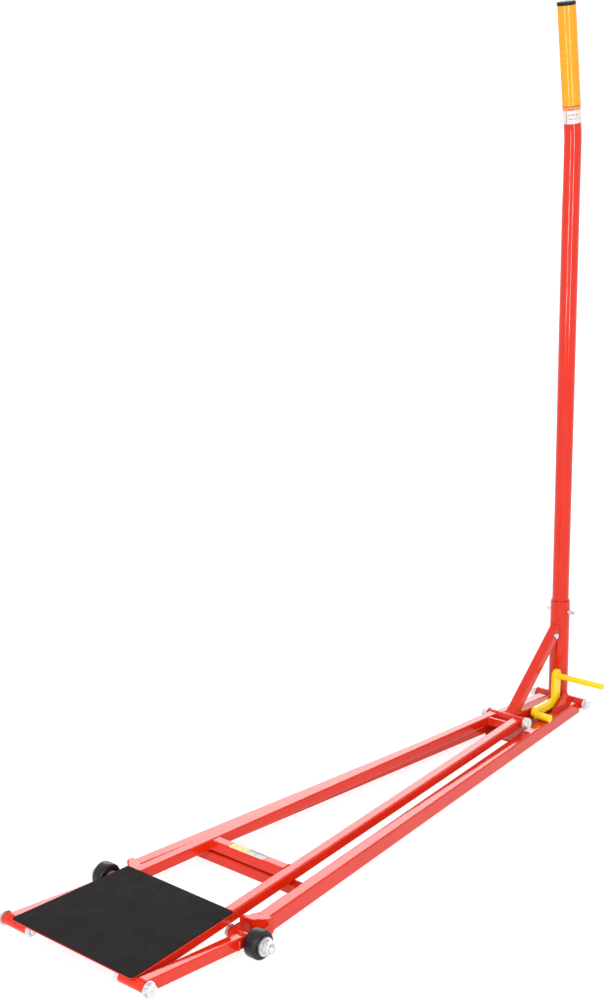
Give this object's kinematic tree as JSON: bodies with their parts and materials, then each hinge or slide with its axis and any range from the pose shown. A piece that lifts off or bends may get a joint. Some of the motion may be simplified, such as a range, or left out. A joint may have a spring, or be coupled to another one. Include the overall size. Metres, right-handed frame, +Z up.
{
  "type": "car jack",
  "caption": "Low-profile lever jack with a V-shaped floor frame, a level-lifting frame with a rubber pad, and a long removable lever.",
  "frame": {"origin": "on the floor under the rear axle, in the middle of the width", "axes": "+Z up, +X across the jack, -Y towards the lifting pad"},
  "size_m": [0.3868, 1.3905, 1.4249],
  "materials": {
    "red_paint": "gloss",
    "yellow_paint": "gloss",
    "zinc_steel": "satin",
    "pad_rubber": "matte",
    "roller_rubber": "satin",
    "grip_plastic": "gloss",
    "cap_plastic": "matte",
    "band_film": "satin"
  },
  "bodies": {
    "root": {"catch_bracket": "red_paint", "catch_pivot_pin": "red_paint", "floor_plate": "red_paint", "floor_tube_left": "red_paint", "floor_tube_right": "red_paint", "lower_cross_tube": "red_paint", "rear_axle_bolt": "zinc_steel", "rear_axle_nut": "zinc_steel", "rear_axle_sleeves": "red_paint", "rear_axle_washers": "zinc_steel", "roller_axle_bolts": "zinc_steel", "roller_fork_left": "red_paint", "roller_fork_right": "red_paint", "roller_nuts": "zinc_steel", "roller_spacers": "zinc_steel", "roller_washers": "zinc_steel"},
    "lever_foot": {"brace_screw": "zinc_steel", "foot_brace": "red_paint", "foot_front_sleeve": "red_paint", "foot_rear_sleeve": "red_paint", "foot_strut": "red_paint", "grip_cap": "cap_plastic", "lever_band": "band_film", "lever_grip": "grip_plastic", "lever_tube": "red_paint", "socket_tube": "red_paint"},
    "lifting_frame": {"apex_strip": "red_paint", "foot_axle_bolt": "zinc_steel", "foot_axle_nut": "zinc_steel", "foot_axle_sleeves": "red_paint", "foot_axle_washers": "zinc_steel", "lift_tube_left": "red_paint", "lift_tube_right": "red_paint", "pad_axle_bolts": "zinc_steel", "pad_axle_nuts": "zinc_steel", "pad_axle_sleeves": "red_paint", "pad_axle_washers": "zinc_steel", "pad_plate": "red_paint", "rubber_pad": "pad_rubber", "upper_cross_tube": "red_paint"},
    "link_right": {"link_sleeves_right": "red_paint", "link_tube_right": "red_paint"},
    "link_left": {"link_sleeves_left": "red_paint", "link_tube_left": "red_paint"},
    "roller_right": {"roller_right": "roller_rubber"},
    "roller_left": {"roller_left": "roller_rubber"},
    "catch": {"catch_lever": "yellow_paint", "catch_pedal": "yellow_paint", "catch_stop_bar": "yellow_paint"},
    "lock_pin": {"lock_pin": "zinc_steel"},
    "pull_ring": {"pull_ring": "zinc_steel"}
  },
  "joints": [
    {"name": "lever_swing", "type": "hinge", "parent": "root", "child": "lever_foot", "pos_m": [0, 0, 0.0235], "axis": [-1, 0, 0], "range_deg": [0, 90]},
    {"name": "frame_on_foot", "type": "hinge", "parent": "lever_foot", "child": "lifting_frame", "pos_m": [0, -0.2135, 0.0448], "axis": [-1, 0, 0], "range_deg": [-90, 0]},
    {"name": "link_right_swing", "type": "hinge", "parent": "root", "child": "link_right", "pos_m": [0.13, -1.153, 0.0225], "axis": [-1, 0, 0], "range_deg": [0, 90]},
    {"name": "link_left_swing", "type": "hinge", "parent": "root", "child": "link_left", "pos_m": [-0.13, -1.153, 0.0225], "axis": [-1, 0, 0], "range_deg": [0, 90]},
    {"name": "roller_right_spin", "type": "hinge", "parent": "root", "child": "roller_right", "pos_m": [0.1637, -1.153, 0.0225], "axis": [1, 0, 0], "continuous": true},
    {"name": "roller_left_spin", "type": "hinge", "parent": "root", "child": "roller_left", "pos_m": [-0.1637, -1.153, 0.0225], "axis": [1, 0, 0], "continuous": true},
    {"name": "catch_tilt", "type": "hinge", "parent": "root", "child": "catch", "pos_m": [0.0248, -0.058, 0.042], "axis": [-1, 0, 0], "range_deg": [0, 60]},
    {"name": "lock_pin_slide", "type": "slide", "parent": "lever_foot", "child": "lock_pin", "axis": [1, 0, 0], "range_m": [0, 0.056]},
    {"name": "pull_ring_swing", "type": "hinge", "parent": "lock_pin", "child": "pull_ring", "pos_m": [0.031, -0.01799, 0.223], "axis": [0, 1, 0], "range_deg": [-25, 110]}
  ],
  "couplings": [
    {"joint": "frame_on_foot", "follows": "lever_swing", "ratio": -1},
    {"joint": "link_right_swing", "follows": "lever_swing", "ratio": 1},
    {"joint": "link_left_swing", "follows": "lever_swing", "ratio": 1}
  ]
}
